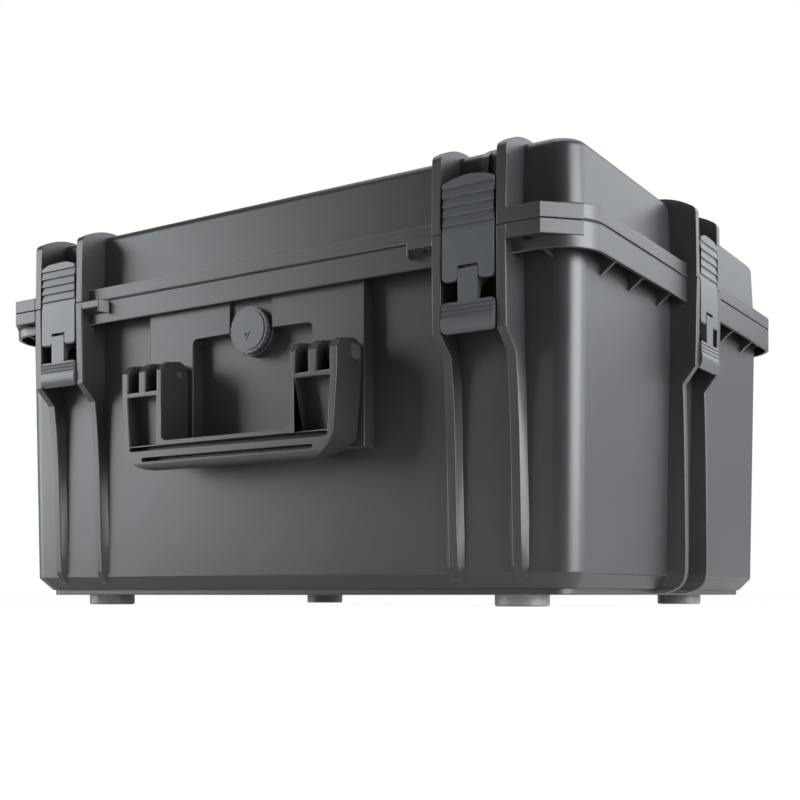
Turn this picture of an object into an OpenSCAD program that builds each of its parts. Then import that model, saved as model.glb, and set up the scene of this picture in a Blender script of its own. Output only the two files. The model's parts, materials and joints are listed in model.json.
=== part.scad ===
// Hard tool case: drafted base and lid shells with banded parting edge,
// paired latch ribs, four lever latches with locking tabs, two rear hinges,
// a folding carry handle, a turning pressure valve and four screwed feet.
// Millimetres, feet on z = 0, front towards -y, right towards +x, with the case
// and its stowed handle centred over the origin.

/* [Overall] */
// Height of the parting plane above the floor
part_z = 301; // [270:1:360]
// Height of the flat lid top above the parting plane
lid_h = 74; // [66:1:100]

/* [Body shells] */
// Width over the body walls at the parting plane
body_w = 637; // [570:1:720]
// Depth over the body walls at the parting plane
body_d = 487; // [420:1:560]
// Wall thickness of both shells
wall_t = 5; // [4:0.5:6]
// Corner radius of the body walls seen from above
body_r = 20; // [14:1:30]
// Lean of each base wall between the parting plane and the bottom chamfer
base_draft = 3.5; // [1:0.5:5]
// Lean of each lid wall up to the start of the top edge
lid_draft = 3; // [1:0.5:5]
// Radius of the rounded top edge of the lid
lid_edge_r = 8; // [5:1:10]
// Height of the bottom edge chamfer
chamfer_h = 12.5; // [8:0.5:16]
// Inset of the bottom edge chamfer
chamfer_in = 10; // [6:1:14]
// Height of the bottom plinth below the chamfer
plinth_h = 5; // [3:0.5:8]
// Thickness of the base floor above the plinth
floor_t = 5; // [4:0.5:8]
// Width of the stiffening ribs under the floor
floor_rib_t = 4; // [3:0.5:6]

/* [Parting band] */
// Distance of the parting band behind the outer plane of the ribs
band_set = 10; // [9:0.5:11]
// Height of the band on the base
base_band_h = 21.5; // [18:0.5:24]
// Height of the band on the lid
lid_band_h = 13.4; // [12:0.2:15]
// Corner radius of the band seen from above
band_r = 40; // [30:1:50]
// Thickness of the top flange of the base band
flange_t = 8; // [6:0.5:9]
// Thickness of the hanging skirt of the base band
skirt_t = 3.5; // [3:0.5:5]
// Gap between base and lid when closed
part_gap = 0.4; // [0.3:0.1:0.8]
// Height of the shadow rebate under the lid band
rebate_h = 1; // [0.6:0.1:1.6]
// Depth of the shadow rebate
rebate_t = 1.4; // [1:0.1:2]
// Thickness of the gussets under the band
gusset_t = 3; // [2.5:0.5:4]
// Height of the gussets below the flange
gusset_h = 26; // [22:1:32]
// Height of the corner gussets below the flange
corner_gusset_h = 16; // [12:1:20]
// Distance of the corner gussets from the side walls
corner_gusset_set = 21.5; // [16:0.5:30]
// Distances of the front three side gussets from the front wall
gussets_front = [47.5, 107.5, 173.5]; // [40:0.5:190]
// Distances of the rear two side gussets from the rear wall
gussets_rear = [68.5, 133.5]; // [40:0.5:190]

/* [Gasket] */
// Distance of the gasket groove from the band face
groove_set = 6; // [5:0.5:7]
// Width of the gasket groove
groove_w = 7; // [6.5:0.1:7.5]
// Depth of the gasket groove above the parting plane
groove_depth = 7; // [6.5:0.5:8]
// Height of the sealing tongue on the base
tongue_h = 2.9; // [2.4:0.1:3.2]
// Width of the sealing tongue on the base
tongue_w = 3; // [2:0.5:4]

/* [Latch ribs] */
// Reach of the side ribs out from the body walls
rib_out_side = 25; // [24:0.5:27]
// Reach of the front and rear ribs out from the body walls
rib_out_front = 29.5; // [28:0.5:32]
// Distance of the front latches and rear hinges from the side walls
latch_set = 81.3; // [78:0.1:86]
// Clear width between the two ribs of a latch
channel_w = 51; // [50.4:0.1:54]
// Thickness of each rib
rib_t = 8.5; // [7:0.5:9]
// Height of the upright part of the base ribs
rib_upright_h = 80.5; // [80:0.5:90]
// Lean of the upright rib faces
rib_lean = 1.5; // [0.5:0.1:2]
// Depth of the front and rear rib faces just below the latch
rib_step_front = 18; // [14:0.5:20]
// Depth of the front and rear rib faces near the floor
rib_foot_front = 27; // [22:0.5:28]
// Depth of the side rib faces just below the latch
rib_step_side = 13.5; // [8:0.5:15]
// Depth of the side rib faces near the floor
rib_foot_side = 11; // [8:0.5:14]
// Width of the rib faces near the floor
rib_face_low = 7.6; // [6:0.2:8.4]
// Extra thickness of the outer side of the ribs at the wall beside the latch
rib_flare = 1.5; // [0.5:0.1:2]
// Width of the front and rear ribs at the wall near the floor
rib_low_w_front = 19.6; // [14:0.2:22]
// Width of the side ribs at the wall near the floor
rib_low_w_side = 15; // [12:0.2:18]
// Height of the rib crests above the lid top
rib_rise = 4.5; // [3:0.5:6]
// Depth of the rib crests behind the outer plane
crest_in = 45; // [40:1:50]
// Radius of the long crest of the ribs
crest_r = 73; // [70:1:80]
// Radius of the rib nose where the face turns into the crest
nose_r = 8; // [6:0.5:10]
// Thickness of the low middle rib between two lid ribs
mid_rib_t = 7.3; // [6:0.1:9]
// Depth of the face of the middle rib behind the outer plane
mid_rib_in = 28.5; // [22:0.5:29]
// Height of the crest of the middle rib above the lid top
mid_rib_rise = 7; // [4:0.5:8]

/* [Latches] */
// Depth of the latch pin behind the outer plane of the ribs
pin_in = 13.5; // [13:0.1:14]
// Distance of the latch pin below the parting plane
pin_down = 25; // [24.5:0.1:26]
// Radius of the latch, hinge and similar pins
pin_r = 2.5; // [2:0.1:3]
// Width of the latch lever
lever_w = 47.6; // [44:0.2:48]
// Thickness of the lever plate
lever_t = 6; // [5:0.1:6]
// Height of the lever above the parting plane
lever_up = 45; // [42:1:50]
// Length of the lever below the parting plane
lever_down = 39; // [38:0.5:41]
// Width of the locking tab stem
stem_w = 17.6; // [15:0.2:19]
// Radius of the lever eyes around the pin
eye_r = 7; // [6:0.2:7.4]
// Depth of the lever hook behind the outer plane
hook_in = 15; // [13:0.5:16]
// Height of the lever hook
hook_h = 7; // [5:0.5:8]
// Drop of the top of the lever slot below the pin
slot_drop = 2; // [1.5:0.1:2.5]
// Depth of the finger ridges
ridge_t = 1.3; // [0.8:0.1:1.8]
// Height of each finger ridge of the lever
ridge_h = 7.7; // [7:0.1:8.4]
// Height of the bar of the locking tab
bar_h = 25; // [24:0.5:28]
// Distance of the top of the bar below the latch pin
bar_drop = 30.8; // [28:0.2:32]
// Distance of the face of the locking tab in front of the outer plane
tab_out = 0.5; // [0.3:0.1:1]
// Thickness of the stop rib behind the locking tab
stop_t = 4; // [3:0.5:6]
// Side gap between moving latch parts and their neighbours
side_gap = 0.4; // [0.3:0.1:0.6]

/* [Lugs] */
// Distance of the outer end of a corner lug from the latch middle
lug_out = 63.5; // [58:0.5:66]
// Height of a lug below the parting plane
lug_down = 12; // [8:0.5:14]
// Radius of the lock holes in the corner lugs
lug_hole_r = 4.5; // [3:0.5:4.5]
// Distance of the lock holes from the latch middle
lug_hole_x = 48.5; // [46:0.5:52]
// Length of the small inner lugs
inner_lug_l = 28; // [20:1:30]
// Height of the front face of the small inner lugs
inner_lug_h = 7; // [5:0.5:9]
// Radius of the holes in the small inner lugs
inner_hole_r = 2.2; // [1.5:0.1:3]

/* [Hinges] */
// Depth of the hinge pin behind the outer plane of the ribs
hinge_in = 6; // [6:0.1:6.5]
// Radius of the hinge knuckles
knuckle_r = 6; // [5.5:0.1:6]

/* [Handle bracket] */
// Width of the raised bracket plate beyond the handle at each end
plate_end = 1.5; // [0:0.5:11]
// Depth of the plate face behind the outer plane of the ribs
plate_in = 16.5; // [16.3:0.1:18]
// Height of the lower end of the plate legs above the floor
plate_low_z = 137; // [120:1:150]
// Width of the plate legs beyond the inside of the handle legs
plate_leg_end = 4.5; // [4:0.5:15]
// Height of the upper edge of that opening
plate_gap_z = 251.5; // [245:0.5:260]
// Half width of the recessed valve panel
panel_hw = 24.5; // [24:0.5:30]
// Depth of the valve panel behind the outer plane
panel_in = 20; // [19.5:0.1:20.5]

/* [Carry handle] */
// Height of the handle pivot above the floor
grip_pivot_z = 216.5; // [210:0.5:220]
// Depth of the handle pivot behind the outer plane of the ribs
grip_pivot_in = 3; // [2.5:0.1:3.2]
// Distance of the handle face in front of the outer plane
grip_out = 22; // [18:0.5:26]
// Depth of the back of the handle legs behind the outer plane
grip_back_in = 15; // [14:0.1:15]
// Half width over the handle legs
grip_hw = 124.5; // [124.5:0.5:130]
// Width of each handle leg
leg_w = 49.5; // [48.5:0.5:56]
// Height of the bottom of the grip above the floor
grip_low_z = 127; // [120:1:132]
// Height of the grip bar
grip_h = 25; // [22:1:28]
// Thickness of the grip bar from front to back
grip_t = 20; // [16:1:22]
// Rounding of the lower corners of the handle
grip_corner_r = 25; // [20:1:25]
// Radius of the handle pins
grip_pin_r = 3; // [2.5:0.1:3.5]
// Height of the handle legs above the pivot
leg_top_h = 14; // [12:0.5:15]
// Height of the straight part of the legs below the pivot
leg_straight_h = 17; // [14:0.5:20]
// Height of the upper groove above the bottom of the grip
groove_high = 18.8; // [17:0.1:20]
// Height of the lower groove above the bottom of the grip
groove_low = 8.6; // [7:0.1:10]
// Width of the grooves in the grip
grip_groove_w = 4; // [3:0.1:5]
// Depth of the grooves in the grip
grip_groove_depth = 12; // [6:0.5:14]
// Width of the square heads of the handle pins
pin_head_w = 13; // [10:0.5:15]
// Radius of the bracket drums
drum_r = 11.5; // [10:0.5:12]
// Width of each bracket drum
drum_w = 12; // [10:0.5:13]
// Distance of the inner drums from the inside of the handle legs
drum_from_inside = 12.5; // [11:0.5:13.5]
// Distance of the outer drums from the outside of the handle legs
drum_from_outside = 14.5; // [13.5:0.5:15.5]

/* [Pressure valve] */
// Height of the valve above the floor
valve_z = 252; // [248:1:256]
// Radius of the valve knob
knob_r = 21.5; // [16:0.5:23]
// Depth of the knob face behind the outer plane
knob_in = 12.5; // [11:0.1:13]
// Thickness of the knob
knob_t = 6; // [5:0.1:6]
// Number of grip notches round the knob
knob_notches = 24; // [12:1:32]
// Radius of the valve barrel
barrel_r = 10; // [8:0.5:11]

/* [Feet] */
// Distance of the feet from the side walls
foot_side_set = 74; // [60:0.5:90]
// Distance of the feet from the front and rear walls
foot_end_set = 52; // [48:0.5:70]
// Radius of a foot
foot_r = 23.4; // [18:0.2:26]
// Height of a foot
foot_h = 10; // [8:0.5:14]
// Radius of the foot screws
screw_r = 2.5; // [2:0.1:3]

/* [Hidden] */
fit = 0.06;
tight = 0.02;
eps = 0.5;
big = 900;
slab = 0.01;
hull_fn = 32;
round_fn = 48;
bottom_z = foot_h + plinth_h;
cham_z = bottom_z + chamfer_h;
floor_z = bottom_z + floor_t;
overall_w = body_w + 2 * rib_out_side;
overall_d = body_d + 2 * rib_out_front;
latch_x = body_w / 2 - latch_set;
foot_x = body_w / 2 - foot_side_set;
foot_y = body_d / 2 - foot_end_set;
front_root = rib_out_front + wall_t;
side_root = rib_out_side + wall_t;
band_w = overall_w - 2 * band_set;
band_d = overall_d - 2 * band_set;
lid_band_top = lid_band_h + part_gap;
skirt_low = -base_band_h;
plate_y = -overall_d / 2 + plate_in;
channel_h = channel_w / 2;
rib_x = channel_h + rib_t / 2;
pair_h = channel_h + rib_t;
slot_w = stem_w + 2 * side_gap;
prong_w = (lever_w - slot_w) / 2;
prong_x = (lever_w + slot_w) / 4;
pin_flush = rib_flare * pin_in / rib_out_front;
tab_eye_r = eye_r + 0.5;
tab_pocket_r = tab_eye_r + 3.4;
slot_top = -pin_down - slot_drop;
lip_r = sqrt(pow(pin_in, 2) + pow(slot_drop, 2)) + 0.35;
hook_z = lid_band_top + 0.8;
bar_w = channel_w - 6 * side_gap;
bar_top = -pin_down - bar_drop;
bar_low = bar_top - bar_h;
hinge_z = 0.2;
hinge_gap_r = knuckle_r + 0.6;
barrel_w = channel_w - 2 * side_gap - 0.2;
gasket_t = groove_depth - tongue_h - 0.3;
grip_inner_hw = grip_hw - leg_w;
plate_hw = grip_hw + plate_end;
plate_gap_hw = grip_inner_hw - plate_leg_end;
drum_x1 = grip_inner_hw + drum_from_inside;
drum_x2 = grip_hw - drum_from_outside;
leg_slot_w = drum_w + 2;
leg_slot_z = grip_pivot_z - leg_straight_h - 0.5;
latch_places = [
    [-latch_x, -overall_d / 2, 0],
    [latch_x, -overall_d / 2, 0],
    [overall_w / 2, 0, 90],
    [-overall_w / 2, 0, -90]
];
shell_grey = [0.30, 0.31, 0.33];
latch_grey = [0.40, 0.42, 0.45];
rubber_grey = [0.12, 0.12, 0.13];
steel_grey = [0.66, 0.67, 0.69];

// ---------- shared shapes ----------

// Rounded rectangle centred on the origin
module round_rect(w, d, r) {
    square([w - 2 * r, d], center = true);
    square([w, d - 2 * r], center = true);
    for (sx = [-1, 1])
        for (sy = [-1, 1])
            translate([sx * (w / 2 - r), sy * (d / 2 - r)])
                circle(r = r, $fn = round_fn);
}

// Thin rounded slab used as a station of a drafted body
module station(z, w, d, r) {
    translate([0, 0, z])
        linear_extrude(slab)
            offset(r = r, $fn = hull_fn)
                square([w - 2 * r, d - 2 * r], center = true);
}

// Profile drawn as depth and height, run along x about the middle
module along_x(w) {
    translate([-w / 2, 0, 0])
        rotate([90, 0, 90])
            linear_extrude(w)
                children();
}

// Profile drawn as x and z, run from y0 to y1
module along_y(y0, y1) {
    translate([0, y1, 0])
        rotate([90, 0, 0])
            linear_extrude(y1 - y0)
                children();
}

// Round bar along x at a depth and height
module bar_x(len, y, z, r) {
    translate([-len / 2, y, z])
        rotate([0, 90, 0])
            cylinder(h = len, r = r, $fn = round_fn);
}

// Puts a latch drawn at its own rib plane on the case
module at_latch(i) {
    translate([latch_places[i][0], latch_places[i][1], part_z])
        rotate([0, 0, latch_places[i][2]])
            children();
}

// Puts a hinge drawn at its own rib plane on the back
module at_hinge(side) {
    translate([side * latch_x, overall_d / 2, part_z])
        rotate([0, 0, 180])
            children();
}

// ---------- base shell ----------

module base_body() {
    hull() {
        station(part_z - slab, body_w, body_d, body_r);
        station(cham_z, body_w - 2 * base_draft, body_d - 2 * base_draft, body_r);
        station(bottom_z, body_w - 2 * (base_draft + chamfer_in),
            body_d - 2 * (base_draft + chamfer_in), body_r);
    }
}

module base_cavity() {
    cav_w = body_w - 2 * wall_t;
    cav_d = body_d - 2 * wall_t;
    cav_r = body_r - wall_t;
    hull() {
        station(part_z + 5, cav_w, cav_d, cav_r);
        station(cham_z + 2, cav_w - 2 * base_draft, cav_d - 2 * base_draft, cav_r);
        station(floor_z, cav_w - 2 * (base_draft + chamfer_in),
            cav_d - 2 * (base_draft + chamfer_in), cav_r);
    }
}

// Plinth under the floor with pockets between stiffening ribs
module base_plinth() {
    pl_w = body_w - 2 * (base_draft + chamfer_in + 2);
    pl_d = body_d - 2 * (base_draft + chamfer_in + 2);
    cols = 6;
    rows = 4;
    cell_w = (pl_w - 2 * body_r) / cols;
    cell_d = (pl_d - 2 * body_r) / rows;
    difference() {
        translate([0, 0, foot_h])
            linear_extrude(plinth_h + 1)
                round_rect(pl_w, pl_d, body_r);
        translate([0, 0, foot_h - 1])
            linear_extrude(plinth_h)
                difference() {
                    for (i = [0 : cols - 1])
                        for (j = [0 : rows - 1])
                            translate([(i - (cols - 1) / 2) * cell_w, (j - (rows - 1) / 2) * cell_d])
                                square([cell_w - floor_rib_t, cell_d - floor_rib_t], center = true);
                    for (sx = [-1, 1])
                        for (sy = [-1, 1])
                            translate([sx * foot_x, sy * foot_y])
                                circle(r = foot_r + 2, $fn = round_fn);
                }
    }
}

// Flange and hanging skirt round the parting plane
module base_band() {
    skirt_gap_h = base_band_h - flange_t;
    difference() {
        translate([0, 0, part_z - base_band_h])
            linear_extrude(base_band_h)
                round_rect(band_w, band_d, band_r);
        translate([0, 0, part_z - base_band_h - 1])
            linear_extrude(skirt_gap_h + 1)
                difference() {
                    round_rect(band_w - 2 * skirt_t, band_d - 2 * skirt_t, band_r - skirt_t);
                    round_rect(body_w - 1, body_d - 1, body_r);
                }
        for (i = [0 : 3])
            at_latch(i)
                translate([-channel_h, -1, skirt_low - 1])
                    cube([channel_w, band_set + skirt_t + 2, skirt_gap_h + 1]);
        for (side = [-1, 1])
            at_hinge(side)
                bar_x(channel_w, hinge_in, hinge_z, hinge_gap_r);
    }
}

// Sealing tongue that stands in the lid groove
module sealing_tongue() {
    in = groove_set + (groove_w - tongue_w) / 2;
    translate([0, 0, part_z - 1])
        linear_extrude(tongue_h + 1)
            difference() {
                round_rect(band_w - 2 * in, band_d - 2 * in, band_r - in);
                round_rect(band_w - 2 * (in + tongue_w), band_d - 2 * (in + tongue_w),
                    band_r - in - tongue_w);
            }
}

// Depth of the outer surface of the base behind the rib plane at a height below the parting plane
function wall_in(z, out) = let (c = cham_z - part_z)
    z > c ? out + base_draft * z / c : out + base_draft + chamfer_in * (c - z) / chamfer_h;

// Sections of a base rib from the parting plane down to the plinth:
// [height, depth of the face, half width of the face, inner and outer half width at the wall]
function rib_sections(step, foot, low_w) = let (
        h = rib_t / 2,
        f = rib_face_low / 2,
        w = low_w / 2,
        top = h + rib_flare,
        mid = (top + w) / 2,
        u = -rib_upright_h,
        low = foot_h - part_z + 1.5,
        bend = foot > step ? 1 : 0.2
    ) [
        [0, 0, h, h, top],
        [u, rib_lean, h, h, top],
        [u - 16, step, h, h + 0.8, top + 0.4],
        [u - 42.5, step + (foot - step) * 0.36, h - 0.1, mid - 0.4, mid - 0.4],
        [u - 81, step + (foot - step) * 0.66, f + 0.2, mid + 0.4, mid + 0.4],
        [low + 44.5, foot, f, w, w],
        [low + 21.5, foot + 1.3 * bend, f, w, w],
        [low + 12, foot + 5.5 * bend + 1, f, w - 0.6, w - 0.6],
        [low + 6, foot + 11 * bend + 4, f, w - 1.4, w - 1.4],
        [low + 2, foot + 17 * bend + 10, f, f + 3, f + 3],
        [low, foot + 24 * bend + 16, f, f + 0.6, f + 0.6]
    ];

// Base rib: a blade beside the latch that turns into a flat band with sloping flanks below
module base_rib(sections, out) {
    n = len(sections);
    points = [for (s = sections) let (back = max(wall_in(s[0], out), s[1]) + 1.5) each [
        [-s[2], s[1], s[0]], [s[2], s[1], s[0]], [s[4], back, s[0]], [-s[3], back, s[0]]
    ]];
    skin = [for (i = [0 : n - 2]) for (k = [0 : 3]) let (a = 4 * i + k, b = 4 * i + (k + 1) % 4)
        each [[a, b, b + 4], [a, b + 4, a + 4]]];
    polyhedron(points, concat([[3, 2, 1, 0]], skin, [[for (k = [0 : 3]) 4 * (n - 1) + k]]));
}

// Two ribs either side of a channel
module base_rib_pair(step, foot, out, low_w) {
    for (m = [0, 1])
        mirror([m, 0, 0])
            translate([rib_x, 0, 0])
                base_rib(rib_sections(step, foot, low_w), out);
}

// Stop rib behind the locking tab and rest pads behind the lever
module latch_stops(root) {
    back = root - wall_t + 2;
    face = pin_in - 9;
    along_x(stop_t)
        polygon([
            [back, -pin_down - 14], [pin_in + 6.5, -pin_down - 14], [pin_in - 4, -pin_down - 22],
            [face, bar_top - 3], [face, bar_low + 8], [back, bar_low + 22]
        ]);
    for (s = [-1, 1])
        translate([s * prong_x - 3, lever_t + 0.35, -flange_t + 1])
            cube([6, band_set - lever_t + 2, flange_t - 1.6]);
}

// Corner lug seen from above, from its start beside a rib to its slanted end
module lug_plan(out, start, set) {
    polygon([
        [out * start, set], [out * (lug_out + set), set], [out * (lug_out + 26), 26],
        [out * (lug_out + 10), 30], [out * start, 30]
    ]);
}

// Corner lugs of one shell: full depth in front, behind the hinge axis at the back
module corner_lugs(z0, z1, rear_start) {
    for (side = [-1, 1]) {
        translate([side * latch_x, -overall_d / 2, z0])
            linear_extrude(z1 - z0)
                lug_plan(side, pair_h, 0);
        translate([side * latch_x, overall_d / 2, z0])
            mirror([0, 1, 0])
                linear_extrude(z1 - z0)
                    lug_plan(side, rear_start, hinge_in + 1.2);
    }
}

// Small lug on the inner side of a front latch: sloping underside and an end wall
module inner_lug(side) {
    end = pair_h + inner_lug_l;
    back = band_set + 1;
    deep = lug_down + 0.5;
    translate([side * latch_x, -overall_d / 2, part_z]) {
        intersection() {
            translate([0, 0, -deep])
                linear_extrude(deep)
                    polygon([
                        [-side * pair_h, 0], [-side * (end - 4), 0],
                        [-side * end, back], [-side * pair_h, back]
                    ]);
            along_x(4 * end)
                polygon([[0, 0], [0, -inner_lug_h], [back, -deep], [back, 0]]);
        }
        translate([0, 0, -deep])
            linear_extrude(deep)
                polygon([
                    [-side * (end - 6), 0], [-side * (end - 4), 0],
                    [-side * end, back], [-side * (end - 2), back]
                ]);
    }
}

// Lock holes of the front corner lugs, from z0 to z1
module lock_holes(z0, z1) {
    for (side = [-1, 1])
        translate([side * (latch_x + lug_hole_x), -overall_d / 2 + 8, z0])
            cylinder(h = z1 - z0, r = lug_hole_r, $fn = round_fn);
}

// Triangular gusset from the skirt in to the wall
module gusset(reach, h) {
    translate([0, 0, part_z])
        along_x(gusset_t)
            polygon([
                [band_set + 1, -flange_t], [band_set + 1, -base_band_h + 1],
                [reach + 2, -flange_t - h], [reach + 2, -flange_t]
            ]);
}

module gussets() {
    places = concat([for (g = gussets_front) g - body_d / 2], [for (g = gussets_rear) body_d / 2 - g]);
    for (y = places)
        for (s = [-1, 1])
            translate([s * overall_w / 2, y, 0])
                rotate([0, 0, s * 90])
                    gusset(rib_out_side, gusset_h);
    for (s = [-1, 1])
        for (back = [0, 1])
            mirror([0, back, 0])
                translate([s * (body_w / 2 - corner_gusset_set), -overall_d / 2, 0])
                    gusset(rib_out_front, corner_gusset_h);
}

// Raised bracket plate for the handle with its valve panel
module bracket_plate() {
    root_y = -body_d / 2 + wall_t + base_draft;
    top_z = part_z - flange_t;
    difference() {
        along_y(plate_y, root_y)
            difference() {
                translate([-plate_hw, plate_low_z])
                    square([2 * plate_hw, top_z - plate_low_z]);
                translate([-plate_gap_hw, plate_low_z - 1])
                    square([2 * plate_gap_hw, plate_gap_z - plate_low_z - 4]);
                translate([-plate_gap_hw + 5, plate_low_z - 1])
                    square([2 * plate_gap_hw - 10, plate_gap_z - plate_low_z + 1]);
                for (s = [-1, 1])
                    translate([s * (plate_gap_hw - 5), plate_gap_z - 5])
                        circle(r = 5, $fn = round_fn);
            }
        translate([-panel_hw, plate_y - 1, plate_gap_z - 1])
            cube([2 * panel_hw, panel_in - plate_in + 1, top_z - plate_gap_z + 2]);
    }
    translate([0, 0, valve_z])
        along_y(-overall_d / 2 + panel_in, root_y)
            circle(r = knob_r + 1.5, $fn = round_fn);
}

// Drums that carry the handle pins
module bracket_drums() {
    for (x = [-drum_x2, -drum_x1, drum_x1, drum_x2])
        translate([x, -overall_d / 2, 0]) {
            bar_x(drum_w, grip_pivot_in, grip_pivot_z, drum_r);
            translate([-drum_w / 2, grip_pivot_in, grip_pivot_z - drum_r])
                cube([drum_w, plate_in - grip_pivot_in + 1, 2 * drum_r]);
        }
}

module base_shell() {
    color(shell_grey)
        difference() {
            union() {
                base_body();
                base_plinth();
                base_band();
                sealing_tongue();
                bracket_plate();
                bracket_drums();
                gussets();
                corner_lugs(part_z - lug_down, part_z, pair_h);
                for (side = [-1, 1])
                    inner_lug(side);
                for (i = [0, 1])
                    at_latch(i) {
                        base_rib_pair(rib_step_front, rib_foot_front, rib_out_front, rib_low_w_front);
                        latch_stops(front_root);
                    }
                for (i = [2, 3])
                    at_latch(i) {
                        base_rib_pair(rib_step_side, rib_foot_side, rib_out_side, rib_low_w_side);
                        latch_stops(side_root);
                    }
                for (side = [-1, 1])
                    at_hinge(side) {
                        base_rib_pair(rib_step_front, rib_foot_front, rib_out_front, rib_low_w_front);
                        for (s = [-1, 1])
                            translate([s * rib_x, 0, 0])
                                bar_x(rib_t, hinge_in, hinge_z, knuckle_r);
                    }
            }
            base_cavity();
            lock_holes(part_z - lug_down - 1, part_z + 1);
            for (side = [-1, 1])
                translate([side * (latch_x - pair_h - 8), -overall_d / 2 + 5.5, part_z - lug_down - 2])
                    cylinder(h = lug_down + 3, r = inner_hole_r, $fn = round_fn);
            for (i = [0 : 3])
                at_latch(i)
                    bar_x(2 * (pair_h + rib_flare + 1), pin_in, -pin_down, pin_r + tight);
            for (side = [-1, 1])
                at_hinge(side)
                    bar_x(2 * pair_h + 2, hinge_in, hinge_z, pin_r + tight);
            translate([0, -overall_d / 2, 0])
                bar_x(2 * drum_x2 + 2 * drum_w, grip_pivot_in, grip_pivot_z, grip_pin_r + fit);
            translate([0, 0, valve_z]) {
                along_y(-overall_d / 2, -body_d / 2 + 30)
                    circle(r = barrel_r + fit, $fn = round_fn);
                along_y(-overall_d / 2 + panel_in - 1, -overall_d / 2 + panel_in + 1.6)
                    difference() {
                        circle(r = barrel_r + 5, $fn = round_fn);
                        circle(r = barrel_r + 2, $fn = round_fn);
                    }
            }
            for (sx = [-1, 1])
                for (sy = [-1, 1])
                    translate([sx * foot_x, sy * foot_y, foot_h - 1])
                        cylinder(h = 9, r = screw_r + tight, $fn = round_fn);
        }
}

// ---------- lid shell ----------

module lid_body() {
    top = part_z + lid_h;
    lw = body_w - 2 * lid_draft;
    ld = body_d - 2 * lid_draft;
    hull() {
        station(part_z + part_gap, body_w, body_d, body_r);
        station(top - lid_edge_r, lw, ld, body_r);
        station(top - lid_edge_r * 0.62, lw - lid_edge_r * 0.15, ld - lid_edge_r * 0.15, body_r);
        station(top - lid_edge_r * 0.29, lw - lid_edge_r * 0.59, ld - lid_edge_r * 0.59, body_r);
        station(top - lid_edge_r * 0.08, lw - lid_edge_r * 1.24, ld - lid_edge_r * 1.24, body_r);
        station(top - slab, lw - lid_edge_r * 2, ld - lid_edge_r * 2, body_r - 2);
    }
}

module lid_cavity() {
    top = part_z + lid_h - wall_t;
    cav_w = body_w - 2 * wall_t;
    cav_d = body_d - 2 * wall_t;
    cav_r = body_r - wall_t;
    hull() {
        station(part_z - 5, cav_w, cav_d, cav_r);
        station(top - 6, cav_w - 2 * lid_draft, cav_d - 2 * lid_draft, cav_r);
        station(top - slab, cav_w - 2 * lid_draft - 10, cav_d - 2 * lid_draft - 10, cav_r);
    }
}

module lid_band() {
    difference() {
        translate([0, 0, part_z + part_gap])
            linear_extrude(lid_band_h)
                round_rect(band_w, band_d, band_r);
        translate([0, 0, part_z])
            linear_extrude(part_gap + rebate_h)
                difference() {
                    square([big, big], center = true);
                    round_rect(band_w - 2 * rebate_t, band_d - 2 * rebate_t, band_r - rebate_t);
                }
    }
}

module gasket_ring(clear, z0, h) {
    in0 = groove_set + clear;
    in1 = groove_set + groove_w - clear;
    translate([0, 0, z0])
        linear_extrude(h)
            difference() {
                round_rect(band_w - 2 * in0, band_d - 2 * in0, band_r - in0);
                round_rect(band_w - 2 * in1, band_d - 2 * in1, band_r - in1);
            }
}

// Lid rib seen from the side: leaning face, rounded nose and a long crest
module lid_rib_profile() {
    crest_z = lid_h + rib_rise - crest_r;
    face = rib_lean + 0.2;
    reach = crest_r - nose_r;
    nose_in = face + nose_r;
    nose_z = crest_z + sqrt(pow(reach, 2) - pow(crest_in - nose_in, 2));
    turn = crest_r / reach;
    turn_in = crest_in + (nose_in - crest_in) * turn;
    intersection() {
        translate([crest_in, crest_z])
            circle(r = crest_r, $fn = 180);
        polygon([
            [0.3, part_gap], [face, nose_z], [nose_in, nose_z],
            [turn_in, crest_z + (nose_z - crest_z) * turn], [turn_in, lid_h + 20],
            [2 * crest_in, lid_h + 20], [2 * crest_in, lid_h - 1], [crest_in + 3, lid_h - 1],
            [crest_in + 3, part_gap]
        ]);
    }
    translate([nose_in, nose_z])
        circle(r = nose_r, $fn = round_fn);
}

// Low middle rib between two lid ribs, from the lid band up over the lid edge
module mid_rib_profile() {
    rise_r = 47;
    top_in = mid_rib_in + 33.5;
    intersection() {
        translate([top_in, lid_h + mid_rib_rise - rise_r])
            circle(r = rise_r, $fn = 120);
        polygon([
            [mid_rib_in, lid_h - 40], [mid_rib_in, lid_h + 20], [top_in + 40, lid_h + 20],
            [top_in + 40, lid_h - 1], [mid_rib_in + 12, lid_h - 1], [mid_rib_in + 12, lid_h - 40]
        ]);
    }
    translate([mid_rib_in, lid_band_top - 1])
        square([12, lid_h - 40 - lid_band_top + 2]);
}

// Pair of lid ribs whose centres stand at +x and -x
module lid_rib_pair(x, t) {
    for (s = [-1, 1])
        translate([s * x, 0, 0])
            along_x(t)
                lid_rib_profile();
}

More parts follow.
